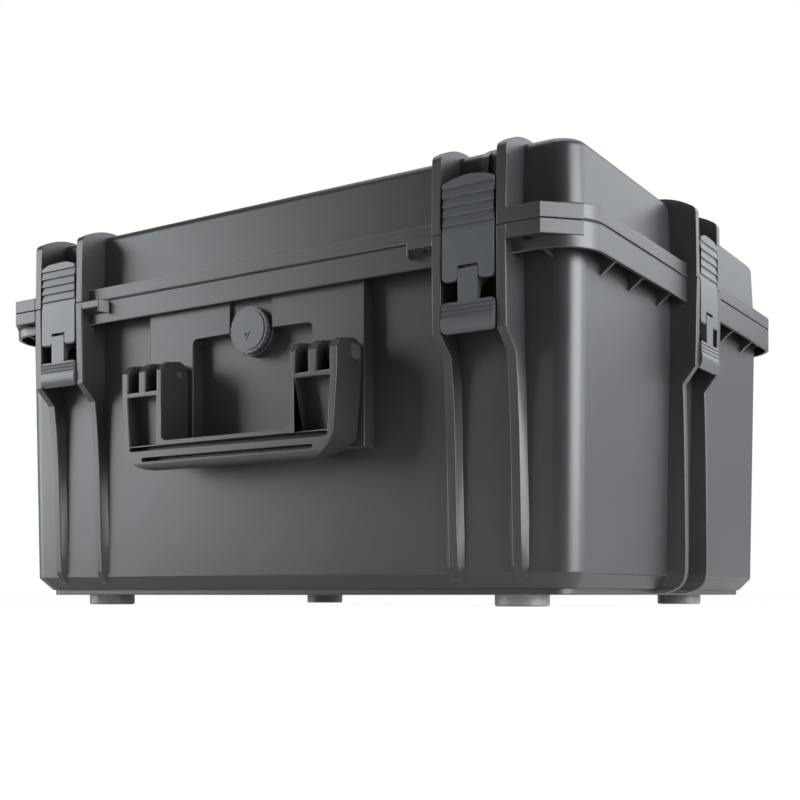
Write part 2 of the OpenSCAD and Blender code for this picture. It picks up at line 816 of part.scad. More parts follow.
module lid_shell() {
    arm_x = barrel_w / 2 - rib_t / 2;
    lid_lug_h = lid_band_h - rebate_h;
    color(shell_grey)
        difference() {
            union() {
                lid_body();
                difference() {
                    lid_band();
                    for (side = [-1, 1])
                        at_hinge(side)
                            bar_x(2 * pair_h + 1, hinge_in, hinge_z, hinge_gap_r);
                }
                corner_lugs(part_z + part_gap, part_z + part_gap + lid_lug_h, pair_h + 0.5);
                for (i = [0 : 3])
                    at_latch(i) {
                        lid_rib_pair(rib_x, rib_t);
                        along_x(mid_rib_t)
                            mid_rib_profile();
                    }
                for (side = [-1, 1])
                    at_hinge(side) {
                        lid_rib_pair(arm_x, rib_t);
                        bar_x(barrel_w, hinge_in, hinge_z, knuckle_r);
                        translate([-barrel_w / 2, hinge_in, part_gap])
                            cube([barrel_w, band_set, knuckle_r - 0.2]);
                    }
            }
            lid_cavity();
            gasket_ring(0, part_z, groove_depth);
            lock_holes(part_z - 1, part_z + lid_band_h + 2);
            for (side = [-1, 1])
                at_hinge(side)
                    bar_x(2 * pair_h + 2, hinge_in, hinge_z, pin_r + fit);
        }
}

module lid_gasket() {
    color(rubber_grey)
        gasket_ring(0.2, part_z + groove_depth - gasket_t, gasket_t);
}

// ---------- pins ----------

module hinge_pins() {
    color(steel_grey)
        for (side = [-1, 1])
            at_hinge(side)
                bar_x(2 * pair_h, hinge_in, hinge_z, pin_r);
}

module latch_pins() {
    color(steel_grey)
        for (i = [0 : 3])
            at_latch(i)
                bar_x(2 * (pair_h + pin_flush), pin_in, -pin_down, pin_r);
}

// ---------- latch ----------

// Lever seen from the side: plate with stepped ridges and a hook over the lid band
module lever_profile() {
    difference() {
        union() {
            polygon([
                [0, -lever_down], [lever_t - 1, -lever_down], [lever_t, -lever_down + 2],
                [pin_in - 2, -pin_down - eye_r + 0.4], [pin_in, -pin_down - eye_r],
                [pin_in, -pin_down + eye_r], [lever_t, -pin_down + eye_r],
                [lever_t, hook_z], [hook_in, hook_z], [hook_in, hook_z + hook_h - 2],
                [hook_in - 2, hook_z + hook_h], [lever_t, hook_z + hook_h + 4],
                [lever_t, lever_up], [0, lever_up]
            ]);
            translate([pin_in, -pin_down])
                circle(r = eye_r, $fn = round_fn);
        }
        for (k = [0 : 4])
            translate([0, k * ridge_h - 1.2])
                polygon([
                    [-1, 0], [0, 0], [ridge_t, ridge_h - 1.1],
                    [0, ridge_h - 0.4], [-1, ridge_h - 0.4]
                ]);
        polygon([[-1, lever_up - 3], [1.5, lever_up + 1], [-1, lever_up + 1]]);
        polygon([[-1, -lever_down - 1], [1.2, -lever_down - 1], [-1, -lever_down + 3]]);
    }
}

// Lever seen from the front: arched top, two prongs with rounded ends
module lever_outline() {
    sag = 5;
    arch_r = (pow(lever_w / 2, 2) + sag * sag) / (2 * sag);
    intersection() {
        translate([0, lever_up - arch_r])
            circle(r = arch_r, $fn = 96);
        translate([-lever_w / 2, -lever_down + 5])
            square([lever_w, lever_up + lever_down]);
    }
    for (s = [-1, 1])
        translate([s * prong_x, -lever_down + 8])
            round_rect(prong_w, 16, 4);
}

module latch_lever(i) {
    color(latch_grey)
        at_latch(i)
            difference() {
                intersection() {
                    along_x(lever_w)
                        lever_profile();
                    along_y(-2, 30)
                        lever_outline();
                }
                translate([-slot_w / 2, -2, -lever_down - 1])
                    cube([slot_w, 40, lever_down + slot_top + 1]);
                bar_x(slot_w, pin_in, -pin_down, tab_pocket_r);
                translate([-slot_w / 2, pin_in, -pin_down - 20])
                    cube([slot_w, 20, 40]);
                bar_x(lever_w + 2, pin_in, -pin_down, pin_r + fit);
            }
}

// Stem of the locking tab, from its eye down and forward to the bar
// The face is flush with the lever; its lip is round about the pin to pass the lever
module stem_profile() {
    lip = [for (a = [199.5 : 6.5 : 232]) [pin_in + lip_r * cos(a), -pin_down + lip_r * sin(a)]];
    polygon(concat(
        [[-tab_out, -pin_down + lip_r * sin(199.5)]],
        lip,
        [
            [pin_in - 6.5, -pin_down - 8.3], [pin_in - 1.5, -pin_down - 7.4],
            [pin_in + 7.1, -pin_down - 2], [pin_in + 2.5, -pin_down - 14],
            [pin_in - 6, -pin_down - 19], [pin_in - 10, bar_top - 3], [-tab_out, bar_top - 3]
        ]
    ));
    translate([pin_in, -pin_down])
        circle(r = tab_eye_r, $fn = round_fn);
}

// Finger bar of the locking tab: three ridges above a rounded lower half
module bar_profile() {
    t = bar_top;
    b = bar_low;
    f = -tab_out;
    polygon([
        [4, t], [f + 0.6, t], [f - 0.3, t - 2.5], [f + 0.6, t - 3.1], [f - 0.6, t - 6],
        [f + 0.3, t - 6.6], [f - 0.9, t - 9.6], [f, t - 10.2], [f - 1.1, t - 13.2],
        [f - 1.2, t - 15.5], [f - 1, b + 6.5], [f - 0.3, b + 3.8], [f + 1.1, b + 1.5],
        [f + 2.9, b], [4, b]
    ]);
}

module lock_tab(i) {
    color(latch_grey)
        at_latch(i)
            difference() {
                union() {
                    along_x(stem_w)
                        stem_profile();
                    intersection() {
                        along_x(bar_w)
                            bar_profile();
                        along_y(-20, 20)
                            translate([0, (bar_top + bar_low) / 2])
                                round_rect(bar_w, bar_h, 3.5);
                    }
                }
                bar_x(stem_w + 2, pin_in, -pin_down, pin_r + fit);
            }
}

module front_left_latch_lever() {
    latch_lever(0);
}

module front_right_latch_lever() {
    latch_lever(1);
}

module right_side_latch_lever() {
    latch_lever(2);
}

module left_side_latch_lever() {
    latch_lever(3);
}

module front_left_lock_tab() {
    lock_tab(0);
}

module front_right_lock_tab() {
    lock_tab(1);
}

module right_side_lock_tab() {
    lock_tab(2);
}

module left_side_lock_tab() {
    lock_tab(3);
}

// ---------- carry handle ----------

module handle_outline() {
    mid_z = grip_low_z + grip_corner_r;
    taper = 4;
    top_z = grip_pivot_z + leg_top_h;
    straight_z = grip_pivot_z - leg_straight_h;
    polygon([
        [-grip_hw, top_z], [-grip_hw, straight_z], [-grip_hw + taper, mid_z],
        [grip_hw - taper, mid_z], [grip_hw, straight_z], [grip_hw, top_z]
    ]);
    translate([-grip_hw + taper + grip_corner_r, grip_low_z])
        square([2 * (grip_hw - taper - grip_corner_r), grip_corner_r]);
    for (s = [-1, 1])
        translate([s * (grip_hw - taper - grip_corner_r), mid_z])
            circle(r = grip_corner_r, $fn = round_fn);
}

// Handle seen from the side, rounded about its pivot at the top and the back
module handle_side() {
    back_r = grip_back_in - grip_pivot_in;
    translate([grip_pivot_in, grip_pivot_z])
        circle(r = back_r, $fn = round_fn);
    polygon([
        [grip_pivot_in, grip_pivot_z + back_r], [-grip_out + 10, grip_pivot_z + back_r - 2],
        [-grip_out + 3, grip_pivot_z + back_r - 6], [-grip_out, grip_pivot_z + back_r - 11],
        [-grip_out, grip_low_z + 5], [-grip_out + 1.5, grip_low_z + 1.5], [-grip_out + 5, grip_low_z],
        [-grip_out + 18, grip_low_z], [grip_back_in, grip_low_z + 16], [grip_back_in, grip_pivot_z]
    ]);
}

module carry_handle() {
    win_low = grip_low_z + grip_h - 3;
    win_top = grip_pivot_z - 22;
    color(latch_grey)
        translate([0, -overall_d / 2, 0])
            difference() {
                intersection() {
                    along_y(-grip_out - 1, grip_back_in + 1)
                        handle_outline();
                    along_x(2 * grip_hw + 2)
                        handle_side();
                }
                along_y(-grip_out - 2, grip_back_in + 2)
                    translate([0, grip_low_z + grip_h + 60])
                        round_rect(2 * grip_inner_hw, 120, 6);
                translate([-grip_inner_hw, -grip_out + grip_t, grip_low_z - 1])
                    cube([2 * grip_inner_hw, 60, 60]);
                for (s = [-1, 1]) {
                    along_y(-grip_out - 2, grip_back_in + 2)
                        polygon([
                            [s * (grip_inner_hw + 6), win_low], [s * (grip_inner_hw + 6), win_top],
                            [s * (grip_hw - 7), win_top], [s * (grip_hw - 10), win_low]
                        ]);
                    for (x = [drum_x1, drum_x2])
                        translate([s * x - leg_slot_w / 2, -grip_out - 2, leg_slot_z])
                            cube([leg_slot_w, 60, 60]);
                }
                along_y(-grip_out - 2, -grip_out + grip_groove_depth) {
                    translate([0, grip_low_z + groove_high])
                        round_rect(2 * (grip_hw - 9.5), grip_groove_w, grip_groove_w / 2 - 0.01);
                    translate([0, grip_low_z + groove_low])
                        round_rect(2 * (grip_hw - grip_corner_r), grip_groove_w, grip_groove_w / 2 - 0.01);
                }
                bar_x(2 * grip_hw + 4, grip_pivot_in, grip_pivot_z, grip_pin_r + tight);
            }
}

module handle_pins() {
    pin_l = grip_hw - grip_inner_hw;
    color(latch_grey)
        for (s = [-1, 1])
            translate([s * (grip_hw + grip_inner_hw) / 2, -overall_d / 2, 0]) {
                bar_x(pin_l, grip_pivot_in, grip_pivot_z, grip_pin_r);
                translate([s * (pin_l / 2 + 1.1), grip_pivot_in, grip_pivot_z])
                    rotate([0, 90, 0])
                        linear_extrude(2.2, center = true)
                            round_rect(pin_head_w, pin_head_w, 4);
            }
}

// ---------- pressure valve ----------

module valve_body() {
    flange_y = -overall_d / 2 + knob_in + knob_t + 0.3;
    panel_y = -overall_d / 2 + panel_in;
    color(latch_grey)
        translate([0, 0, valve_z])
            difference() {
                union() {
                    along_y(flange_y, panel_y)
                        circle(r = knob_r - 2.5, $fn = round_fn);
                    along_y(panel_y - 0.5, panel_y + 26)
                        circle(r = barrel_r, $fn = round_fn);
                }
                along_y(flange_y - 1, panel_y + 12)
                    circle(r = 4 + fit, $fn = round_fn);
                along_y(panel_y + 11, panel_y + 27)
                    circle(r = 2, $fn = round_fn);
            }
}

module valve_seal() {
    panel_y = -overall_d / 2 + panel_in;
    color(rubber_grey)
        translate([0, 0, valve_z])
            along_y(panel_y + 0.1, panel_y + 1.6)
                difference() {
                    circle(r = barrel_r + 4.9, $fn = round_fn);
                    circle(r = barrel_r + 2.1, $fn = round_fn);
                }
}

module valve_nut() {
    nut_y = -body_d / 2 + wall_t + base_draft * (part_z - valve_z + 20) / (part_z - cham_z) + 0.2;
    color(latch_grey)
        translate([0, 0, valve_z])
            along_y(nut_y, nut_y + 6)
                difference() {
                    circle(r = barrel_r + 7, $fn = 6);
                    circle(r = barrel_r + fit, $fn = round_fn);
                }
}

module valve_knob() {
    face_y = -overall_d / 2 + knob_in;
    color(latch_grey)
        translate([0, 0, valve_z])
            difference() {
                union() {
                    along_y(face_y + 1, face_y + knob_t)
                        difference() {
                            circle(r = knob_r, $fn = 72);
                            for (k = [0 : knob_notches - 1])
                                rotate(k * 360 / knob_notches)
                                    translate([knob_r + 0.3, 0])
                                        circle(r = 1.1, $fn = 16);
                        }
                    along_y(face_y, face_y + 1.5)
                        circle(r = knob_r - 3, $fn = 72);
                    along_y(face_y + knob_t - 0.5, face_y + knob_t + 11)
                        circle(r = 4, $fn = round_fn);
                    along_y(face_y - 0.6, face_y + 0.5)
                        translate([-2, -5])
                            polygon([[-4.5, 3.5], [4.5, 3.5], [0, -4.5]]);
                }
                along_y(face_y - 2, face_y + 2)
                    translate([-2, -4.2])
                        circle(r = 1.3, $fn = 24);
            }
}

// ---------- feet ----------

module foot_at(sx, sy) {
    color(rubber_grey)
        translate([sx * foot_x, sy * foot_y, 0])
            rotate_extrude($fn = 72)
                polygon([
                    [8, 0], [foot_r - 1.2, 0], [foot_r, 1.2], [foot_r, foot_h],
                    [screw_r + 0.2, foot_h], [screw_r + 0.2, 5], [8, 5]
                ]);
}

module front_left_foot() {
    foot_at(-1, -1);
}

module front_right_foot() {
    foot_at(1, -1);
}

module rear_left_foot() {
    foot_at(-1, 1);
}

module rear_right_foot() {
    foot_at(1, 1);
}

module foot_screws() {
    color(steel_grey)
        for (sx = [-1, 1])
            for (sy = [-1, 1])
                translate([sx * foot_x, sy * foot_y, 0])
                    difference() {
                        rotate_extrude($fn = round_fn)
                            polygon([
                                [0, 1.8], [5.2, 1.8], [6, 2.8], [6, 5], [screw_r, 5],
                                [screw_r, foot_h + 6.5], [0, foot_h + 6.5]
                            ]);
                        translate([0, 0, 1])
                            cylinder(h = 2.6, r = 2.2, $fn = 6);
                    }
}

// Puts the case, with the handle that stands out in front, centred over the origin
module centred() {
    translate([0, grip_out / 2, 0])
        children();
}

centred() base_shell();
centred() lid_shell();
centred() lid_gasket();
centred() hinge_pins();
centred() latch_pins();
centred() front_left_latch_lever();
centred() front_right_latch_lever();
centred() right_side_latch_lever();
centred() left_side_latch_lever();
centred() front_left_lock_tab();
centred() front_right_lock_tab();
centred() right_side_lock_tab();
centred() left_side_lock_tab();
centred() carry_handle();
centred() handle_pins();
centred() valve_body();
centred() valve_seal();
centred() valve_nut();
centred() valve_knob();
centred() front_left_foot();
centred() front_right_foot();
centred() rear_left_foot();
centred() rear_right_foot();
centred() foot_screws();
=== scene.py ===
# %% [markdown]
# A hard tool case, dressed for its portrait. The exact solids come from the CAD frame;
# this file adds the camera, the light, the finishes and the fine detail of moulding.
# Lengths are in metres. X runs along the front of the case, Y from its front to its
# back, and Z upwards. Each cell below makes one thing and prints what it made.

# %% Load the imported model
import bpy
import bmesh
import math
import json
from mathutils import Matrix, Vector


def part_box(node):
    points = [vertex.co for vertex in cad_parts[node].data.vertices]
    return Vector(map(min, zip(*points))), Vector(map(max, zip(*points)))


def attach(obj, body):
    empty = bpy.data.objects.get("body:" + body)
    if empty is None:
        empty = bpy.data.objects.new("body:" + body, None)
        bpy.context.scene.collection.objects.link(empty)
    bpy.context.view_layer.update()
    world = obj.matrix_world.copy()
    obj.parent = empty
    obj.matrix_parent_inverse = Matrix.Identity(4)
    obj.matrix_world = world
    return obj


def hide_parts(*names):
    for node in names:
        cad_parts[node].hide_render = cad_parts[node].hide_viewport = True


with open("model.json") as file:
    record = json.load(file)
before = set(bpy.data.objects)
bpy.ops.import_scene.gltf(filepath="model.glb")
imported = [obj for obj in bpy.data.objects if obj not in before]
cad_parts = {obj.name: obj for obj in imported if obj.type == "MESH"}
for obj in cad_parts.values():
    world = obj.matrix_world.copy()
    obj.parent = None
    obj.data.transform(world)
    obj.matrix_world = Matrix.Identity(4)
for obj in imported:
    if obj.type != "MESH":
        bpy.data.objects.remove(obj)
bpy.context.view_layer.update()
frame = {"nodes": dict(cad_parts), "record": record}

# %% [markdown]
# The photograph was taken from almost floor level, with the camera held level. A camera
# could be aimed at the middle of the case instead, but then it tilts, and upright edges
# lean together in the picture. A level camera keeps them upright, and the case comes
# into the middle of the picture by shifting the lens. Place, heading and lens were
# fitted to the edges of the case, so they aren't round numbers.

# %% Camera
lens_mm = 54.82
sensor_mm = 36.0
lens_shift_up = 0.2445
camera_place = (0.7179, -1.1092, 0.0092)
held_level = math.radians(90)
turned_left = math.radians(32.74)
nearest_seen = 0.02
farthest_seen = 60.0


def place_camera():
    data = bpy.data.cameras.new("photo_lens")
    data.sensor_width = sensor_mm
    data.lens = lens_mm
    data.shift_y = lens_shift_up
    data.clip_start = nearest_seen
    data.clip_end = farthest_seen
    camera = bpy.data.objects.new("photo_camera", data)
    camera.location = camera_place
    camera.rotation_euler = (held_level, 0.0, turned_left)
    bpy.context.scene.collection.objects.link(camera)
    bpy.context.scene.camera = camera
    return camera


camera = place_camera()
print("camera at", tuple(round(v, 4) for v in camera.location), "lens", camera.data.lens)

# %% [markdown]
# Surround, floor and finishes are all made of shader nodes. Adding a node takes one line
# to create it and one more for each value, and a value is either a socket that can also
# take a link or a plain setting of the node. A small helper takes both kinds by name, so
# most nodes below are written in one line.

# %% Shader nodes in one line
def node(tree, kind, **values):
    n = tree.nodes.new(kind)
    for key, value in values.items():
        if key in n.inputs:
            n.inputs[key].default_value = value
        else:
            setattr(n, key, value)
    return n


print("helper:", node.__name__)

# %% [markdown]
# The plain studio has a white floor that runs into a white surround behind the case, and
# a dim room in front of it. Dark satin plastic shows mostly what it mirrors: the side of
# the case mirrors the light end of the room and the front mirrors the dim end, and that
# difference gives the case its form. Lamps alone could do it, but each would leave an
# edge in the mirror. A background that rises smoothly from front to back leaves none.
# In a world shader the Generated coordinate is the direction looked in, so its Y goes
# from -1 straight to the front to 1 straight to the back.

# %% Light that rises towards the back
cool_white = (0.93, 0.965, 1.0)
rise_from = -0.25
rise_to = 0.75


def brighter_to_the_back(tree, towards_back, front, back):
    """A background that rises from front to back along Y."""
    rise = node(tree, "ShaderNodeMapRange", interpolation_type="SMOOTHSTEP")
    rise.inputs["From Min"].default_value = rise_from
    rise.inputs["From Max"].default_value = rise_to
    rise.inputs["To Min"].default_value = front
    rise.inputs["To Max"].default_value = back
    shade = node(tree, "ShaderNodeBackground", Color=(*cool_white, 1))
    tree.links.new(towards_back, rise.inputs["Value"])
    tree.links.new(rise.outputs[0], shade.inputs["Strength"])
    return shade


print("light rises between Y", rise_from, "and", rise_to)

# %% [markdown]
# One surround can't be both the white page behind the case and the soft room that lights
# it: a white room would wash out the colour of the plastic. The Light Path node tells
# the rays apart. Rays from the camera, straight or through something clear, see plain
# white. Mirror rays see the room, light at the back, and all other rays see the same
# room a little dimmer there. The Standard view leaves each colour as it is written.

# %% Surround
def build_world(front, back, mirrored_back):
    world = bpy.data.worlds.new("studio_surround")
    world.use_nodes = True
    tree = world.node_tree
    tree.nodes.clear()
    links = tree.links
    out = node(tree, "ShaderNodeOutputWorld")
    path = node(tree, "ShaderNodeLightPath")
    coords = node(tree, "ShaderNodeTexCoord")
    split = node(tree, "ShaderNodeSeparateXYZ")
    links.new(coords.outputs["Generated"], split.inputs[0])
    fill = brighter_to_the_back(tree, split.outputs["Y"], front, back)
    mirrored = brighter_to_the_back(tree, split.outputs["Y"], front, mirrored_back)
    seen = node(tree, "ShaderNodeBackground", Color=(1, 1, 1, 1), Strength=1.0)
    straight = node(tree, "ShaderNodeMath", operation="MAXIMUM")
    links.new(path.outputs["Is Camera Ray"], straight.inputs[0])
    links.new(path.outputs["Is Transmission Ray"], straight.inputs[1])
    by_mirror = node(tree, "ShaderNodeMixShader")
    links.new(path.outputs["Is Glossy Ray"], by_mirror.inputs[0])
    links.new(fill.outputs[0], by_mirror.inputs[1])
    links.new(mirrored.outputs[0], by_mirror.inputs[2])
    by_sight = node(tree, "ShaderNodeMixShader")
    links.new(straight.outputs[0], by_sight.inputs[0])
    links.new(by_mirror.outputs[0], by_sight.inputs[1])
    links.new(seen.outputs[0], by_sight.inputs[2])
    links.new(by_sight.outputs[0], out.inputs["Surface"])
    bpy.context.scene.world = world
    return world


world = build_world(front=0.05, back=0.5, mirrored_back=0.64)
bpy.context.scene.view_settings.view_transform = "Standard"
print("world", world.name)

# %% [markdown]
# The floor is a wide sheet of matt paper. Lit as plain paper it would turn grey towards
# the horizon, so to the camera it is nearly all white by itself. A small share of plain
# paper stays in it, and that share takes the shadow of the case. Mirror rays see less
# than half of the white: enough to light the undersides, and too little to make the foot
# of each wall glow. As in the surround, the Light Path node tells the rays apart.

# %% Paper of the floor
paper_patches = 3.0
paper_darker = (0.86, 0.86, 0.87, 1)
paper_lighter = (0.92, 0.92, 0.92, 1)
white_to_eye = 0.96
white_to_mirror = 0.42


def pale_paper():
    mat = bpy.data.materials.new("pale_paper")
    mat.use_nodes = True
    tree = mat.node_tree
    tree.nodes.clear()
    out = node(tree, "ShaderNodeOutputMaterial")
    path = node(tree, "ShaderNodeLightPath")
    grain = node(tree, "ShaderNodeTexNoise", Scale=paper_patches)
    ramp = node(tree, "ShaderNodeValToRGB")
    ramp.color_ramp.elements[0].color = paper_darker
    ramp.color_ramp.elements[1].color = paper_lighter
    paper = node(tree, "ShaderNodeBsdfDiffuse")
    white = node(tree, "ShaderNodeEmission", Color=(1, 1, 1, 1), Strength=1.0)
    straight = node(tree, "ShaderNodeMath", operation="MAXIMUM")
    to_eye = node(tree, "ShaderNodeMath", operation="MULTIPLY")
    to_eye.inputs[1].default_value = white_to_eye
    to_mirror = node(tree, "ShaderNodeMath", operation="MULTIPLY")
    to_mirror.inputs[1].default_value = white_to_mirror
    share = node(tree, "ShaderNodeMath", operation="MAXIMUM")
    mix = node(tree, "ShaderNodeMixShader")
    links = tree.links
    links.new(grain.outputs["Fac"], ramp.inputs[0])
    links.new(ramp.outputs[0], paper.inputs["Color"])
    links.new(path.outputs["Is Camera Ray"], straight.inputs[0])
    links.new(path.outputs["Is Transmission Ray"], straight.inputs[1])
    links.new(straight.outputs[0], to_eye.inputs[0])
    links.new(path.outputs["Is Glossy Ray"], to_mirror.inputs[0])
    links.new(to_eye.outputs[0], share.inputs[0])
    links.new(to_mirror.outputs[0], share.inputs[1])
    links.new(share.outputs[0], mix.inputs[0])
    links.new(paper.outputs[0], mix.inputs[1])
    links.new(white.outputs[0], mix.inputs[2])
    links.new(mix.outputs[0], out.inputs["Surface"])
    return mat


print("white share of the floor: to the eye", white_to_eye, "in a mirror", white_to_mirror)

# %% [markdown]
# The sheet itself is one square face, far wider than the photograph's view. It belongs
# to the studio and not to the case, and unlike every other mesh here it rides on no
# body of the case.

# %% Floor
floor_reach = 12.0


def build_floor(r):
    mesh = bpy.data.meshes.new("studio_floor")
    mesh.from_pydata([(-r, -r, 0), (r, -r, 0), (r, r, 0), (-r, r, 0)], [], [(0, 1, 2, 3)])
    floor = bpy.data.objects.new("studio_floor", mesh)
    bpy.context.scene.collection.objects.link(floor)
    mesh.materials.append(pale_paper())
    return floor


floor = build_floor(floor_reach)
print("floor", floor.name)

# %% [markdown]
# Five soft lamps light the case, each a wide panel with a task of its own. A small lamp
# would be mirrored as a hard spot; a wide one is mirrored in satin plastic as a broad
# sheen. The left one is mirrored along the front wall and fades towards the right latch.
# The corner one is the strongest: the rounded corner mirrors it as the bright upright
# line. The right one lifts the side wall, the back one reaches the rear of the lid, and
# the overhead one lights the top. All are slightly cool, like the surround. They light
# and are mirrored, but the camera doesn't see the panels.

# %% Lamps
def softbox(name, place, target, width, height, watts):
    data = bpy.data.lights.new(name, "AREA")
    data.shape = "RECTANGLE"
    data.size = width
    data.size_y = height
    data.energy = watts
    data.color = cool_white
    lamp = bpy.data.objects.new(name, data)
    lamp.visible_camera = False
    lamp.location = place
    aim = Vector(target) - Vector(place)
    lamp.rotation_euler = aim.to_track_quat("-Z", "Y").to_euler()
    bpy.context.scene.collection.objects.link(lamp)
    return lamp


lamps = [
    softbox("left_softbox", place=(-2.65, -1.65, 0.9), target=(-0.1, -0.23, 0.2),
            width=2.2, height=1.9, watts=78),
    softbox("corner_strip", place=(2.9, -0.42, 0.85), target=(0.31, -0.2, 0.2),
            width=2.4, height=1.8, watts=142),
    softbox("right_softbox", place=(2.5, 1.5, 0.95), target=(0.31, -0.1, 0.25),
            width=1.8, height=1.8, watts=26),
    softbox("back_softbox", place=(1.45, 2.6, 1.65), target=(0.32, 0.0, 0.3),
            width=1.9, height=1.4, watts=12),
    softbox("overhead_softbox", place=(-0.2, 0.0, 2.5), target=(0.0, 0.0, 0.3),
            width=2.4, height=2.0, watts=26),
]
print("lamps", [lamp.name for lamp in lamps])

# %% [markdown]
# A moulded plastic is never one flat colour. The pigment lies in it in slow clouds, the
# gloss changes with them, and the skin has a fine grain from the face of the mould. An
# image could hold all that, but it has to be stretched over each piece. Noise in the
# solid's own coordinates needs no stretching and runs on from one face to the next. One
# recipe serves all finishes: a ramp between two near tones, a roughness that follows the
# same clouds, and a very fine relief. Grain is the number of specks in a metre.

# %% A recipe for moulded finishes
plastic_ior = 1.6
clouds_per_metre = 7.0
cloud_detail = 4.0
speck_detail = 2.0
darkest_at = 0.35
lightest_at = 0.65
smoother_by = 0.03
duller_by = 0.04
grain_depth = 0.0004


def moulded(name, dark, light, rough, grain, bump, metallic=0.0):
    mat = bpy.data.materials.new(name)
    mat.use_nodes = True
    tree = mat.node_tree
    tree.nodes.clear()
    out = node(tree, "ShaderNodeOutputMaterial")
    shader = node(tree, "ShaderNodeBsdfPrincipled", IOR=plastic_ior, Metallic=metallic)
    coords = node(tree, "ShaderNodeTexCoord")
    cloud = node(tree, "ShaderNodeTexNoise", Scale=clouds_per_metre,
                 Detail=cloud_detail)
    tone = node(tree, "ShaderNodeValToRGB")
    tone.color_ramp.elements[0].position = darkest_at
    tone.color_ramp.elements[0].color = dark
    tone.color_ramp.elements[1].position = lightest_at
    tone.color_ramp.elements[1].color = light
    dull = node(tree, "ShaderNodeMapRange")
    dull.inputs["To Min"].default_value = rough - smoother_by
    dull.inputs["To Max"].default_value = rough + duller_by
    speck = node(tree, "ShaderNodeTexNoise", Scale=grain, Detail=speck_detail)
    relief = node(tree, "ShaderNodeBump", Strength=bump, Distance=grain_depth)
    links = tree.links
    for tex in (cloud, speck):
        links.new(coords.outputs["Object"], tex.inputs["Vector"])
    links.new(cloud.outputs["Fac"], tone.inputs[0])
    links.new(tone.outputs[0], shader.inputs["Base Color"])
    links.new(cloud.outputs["Fac"], dull.inputs["Value"])
    links.new(dull.outputs[0], shader.inputs["Roughness"])
    links.new(speck.outputs["Fac"], relief.inputs["Height"])
    links.new(relief.outputs[0], shader.inputs["Normal"])
    links.new(shader.outputs[0], out.inputs["Surface"])
    return mat


print("recipe:", moulded.__name__, "with", clouds_per_metre, "clouds a metre")

# %% [markdown]
# Four finishes cover the case: the graphite plastic of the shells and the handle, the
# lighter and slightly bluer plastic of the latches, the valve and the handle's pins, the
# light grey rubber of feet and seals, and the steel of the other pins and the screws.
# Dark plastic could be matched by making its colour lighter until the picture fits, but
# then it looks chalky in other light. Here it has a low base colour and a normal gloss,
# so most of its brightness is what it mirrors.

# %% Four finishes
finish = {
    "shell_plastic": moulded("graphite_shell_plastic", dark=(0.018, 0.0184, 0.0197, 1),
                             light=(0.023, 0.0238, 0.0254, 1), rough=0.36,
                             grain=1100.0, bump=0.20),
    "latch_plastic": moulded("graphite_latch_plastic", dark=(0.043, 0.045, 0.049, 1),
                             light=(0.054, 0.057, 0.062, 1), rough=0.36,
                             grain=1300.0, bump=0.12),
    "rubber": moulded("grey_foot_rubber", dark=(0.34, 0.34, 0.345, 1),
                      light=(0.40, 0.40, 0.405, 1), rough=0.36,
                      grain=1500.0, bump=0.15),
    "steel": moulded("pin_steel", dark=(0.42, 0.42, 0.44, 1),
                     light=(0.55, 0.55, 0.57, 1), rough=0.30,
                     grain=2500.0, bump=0.10, metallic=1.0),
}
print("finishes", sorted(finish))

# %% [markdown]
# The record of the part names, for every node, the slot that its finish goes into. Going
# by that list and not by the names of the nodes keeps all pieces of one plastic alike.
# Only the material is changed: the meshes of the CAD nodes stay as they are.

# %% Finishes on the CAD nodes
slot_of = {row["node"]: row["material_slot"] for row in frame["record"]["subparts"]}
for name, obj in frame["nodes"].items():
    mat = finish[slot_of[name]]
    for slot in obj.material_slots:
        slot.material = mat
    if not obj.material_slots:
        obj.data.materials.append(mat)
print("finished nodes:", len(slot_of))

# %% [markdown]
# A piece made in this file belongs to a CAD node: it has the node's finish and moves with
# the body that carries the node. Such pieces are made twice below, as rounded mouldings
# and as the floors of two pockets, so the steps that both need stand here once.

# %% A new piece that belongs to a node
def body_of(node_name):
    for body, names in frame["record"]["behaviour"]["bodies"].items():
        if node_name in names:
            return body


def add_piece(name, bm, node_name):
    """Turn a bmesh into an object with the finish, the slot and the body of a node."""
    mesh = bpy.data.meshes.new(name)
    bm.to_mesh(mesh)
    bm.free()
    mesh.materials.append(finish[slot_of[node_name]])
    piece = bpy.data.objects.new(name, mesh)
    bpy.context.scene.collection.objects.link(piece)
    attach(piece, body_of(node_name))
    return piece


print("the handle rides on", body_of("carry_handle"), "in", slot_of["carry_handle"])

# %% [markdown]
# No moulded edge is knife sharp: the cutter that makes the mould leaves a radius of less
# than a millimetre, and each such radius catches a thin bright line. The solids have
# square edges. A shader can fake the round, but a real bevel also shows in the outline,
# so each visible moulding gets a copy of its mesh. A solid arrives as triangles, and a
# bevel runs wrong where it meets the seams between flat ones, so doubled points are
# joined and flat triangles merged first.

# %% A clean copy of a solid
weld_within = 2e-6
flat_within = math.radians(0.6)


def clean_copy(node_name):
    bm = bmesh.new()
    bm.from_mesh(frame["nodes"][node_name].data)
    bmesh.ops.remove_doubles(bm, verts=bm.verts, dist=weld_within)
    bmesh.ops.dissolve_limit(bm, angle_limit=flat_within, verts=bm.verts, edges=bm.edges)
    return bm


print("triangles flatter than", round(math.degrees(flat_within), 2), "degrees are merged")

# %% [markdown]
# The bevel takes the outer edges only, since those catch the light. Edges along a fine
# curve turn by a few degrees and stay as they are, and so does an edge shorter than
# twice the radius, where the new faces would cross. The new faces are tagged, because
# the next step has to tell them from the old ones.

# %% Bevelled outer edges
least_turn = math.radians(24.0)
bevel_steps = 2
round_profile = 0.5


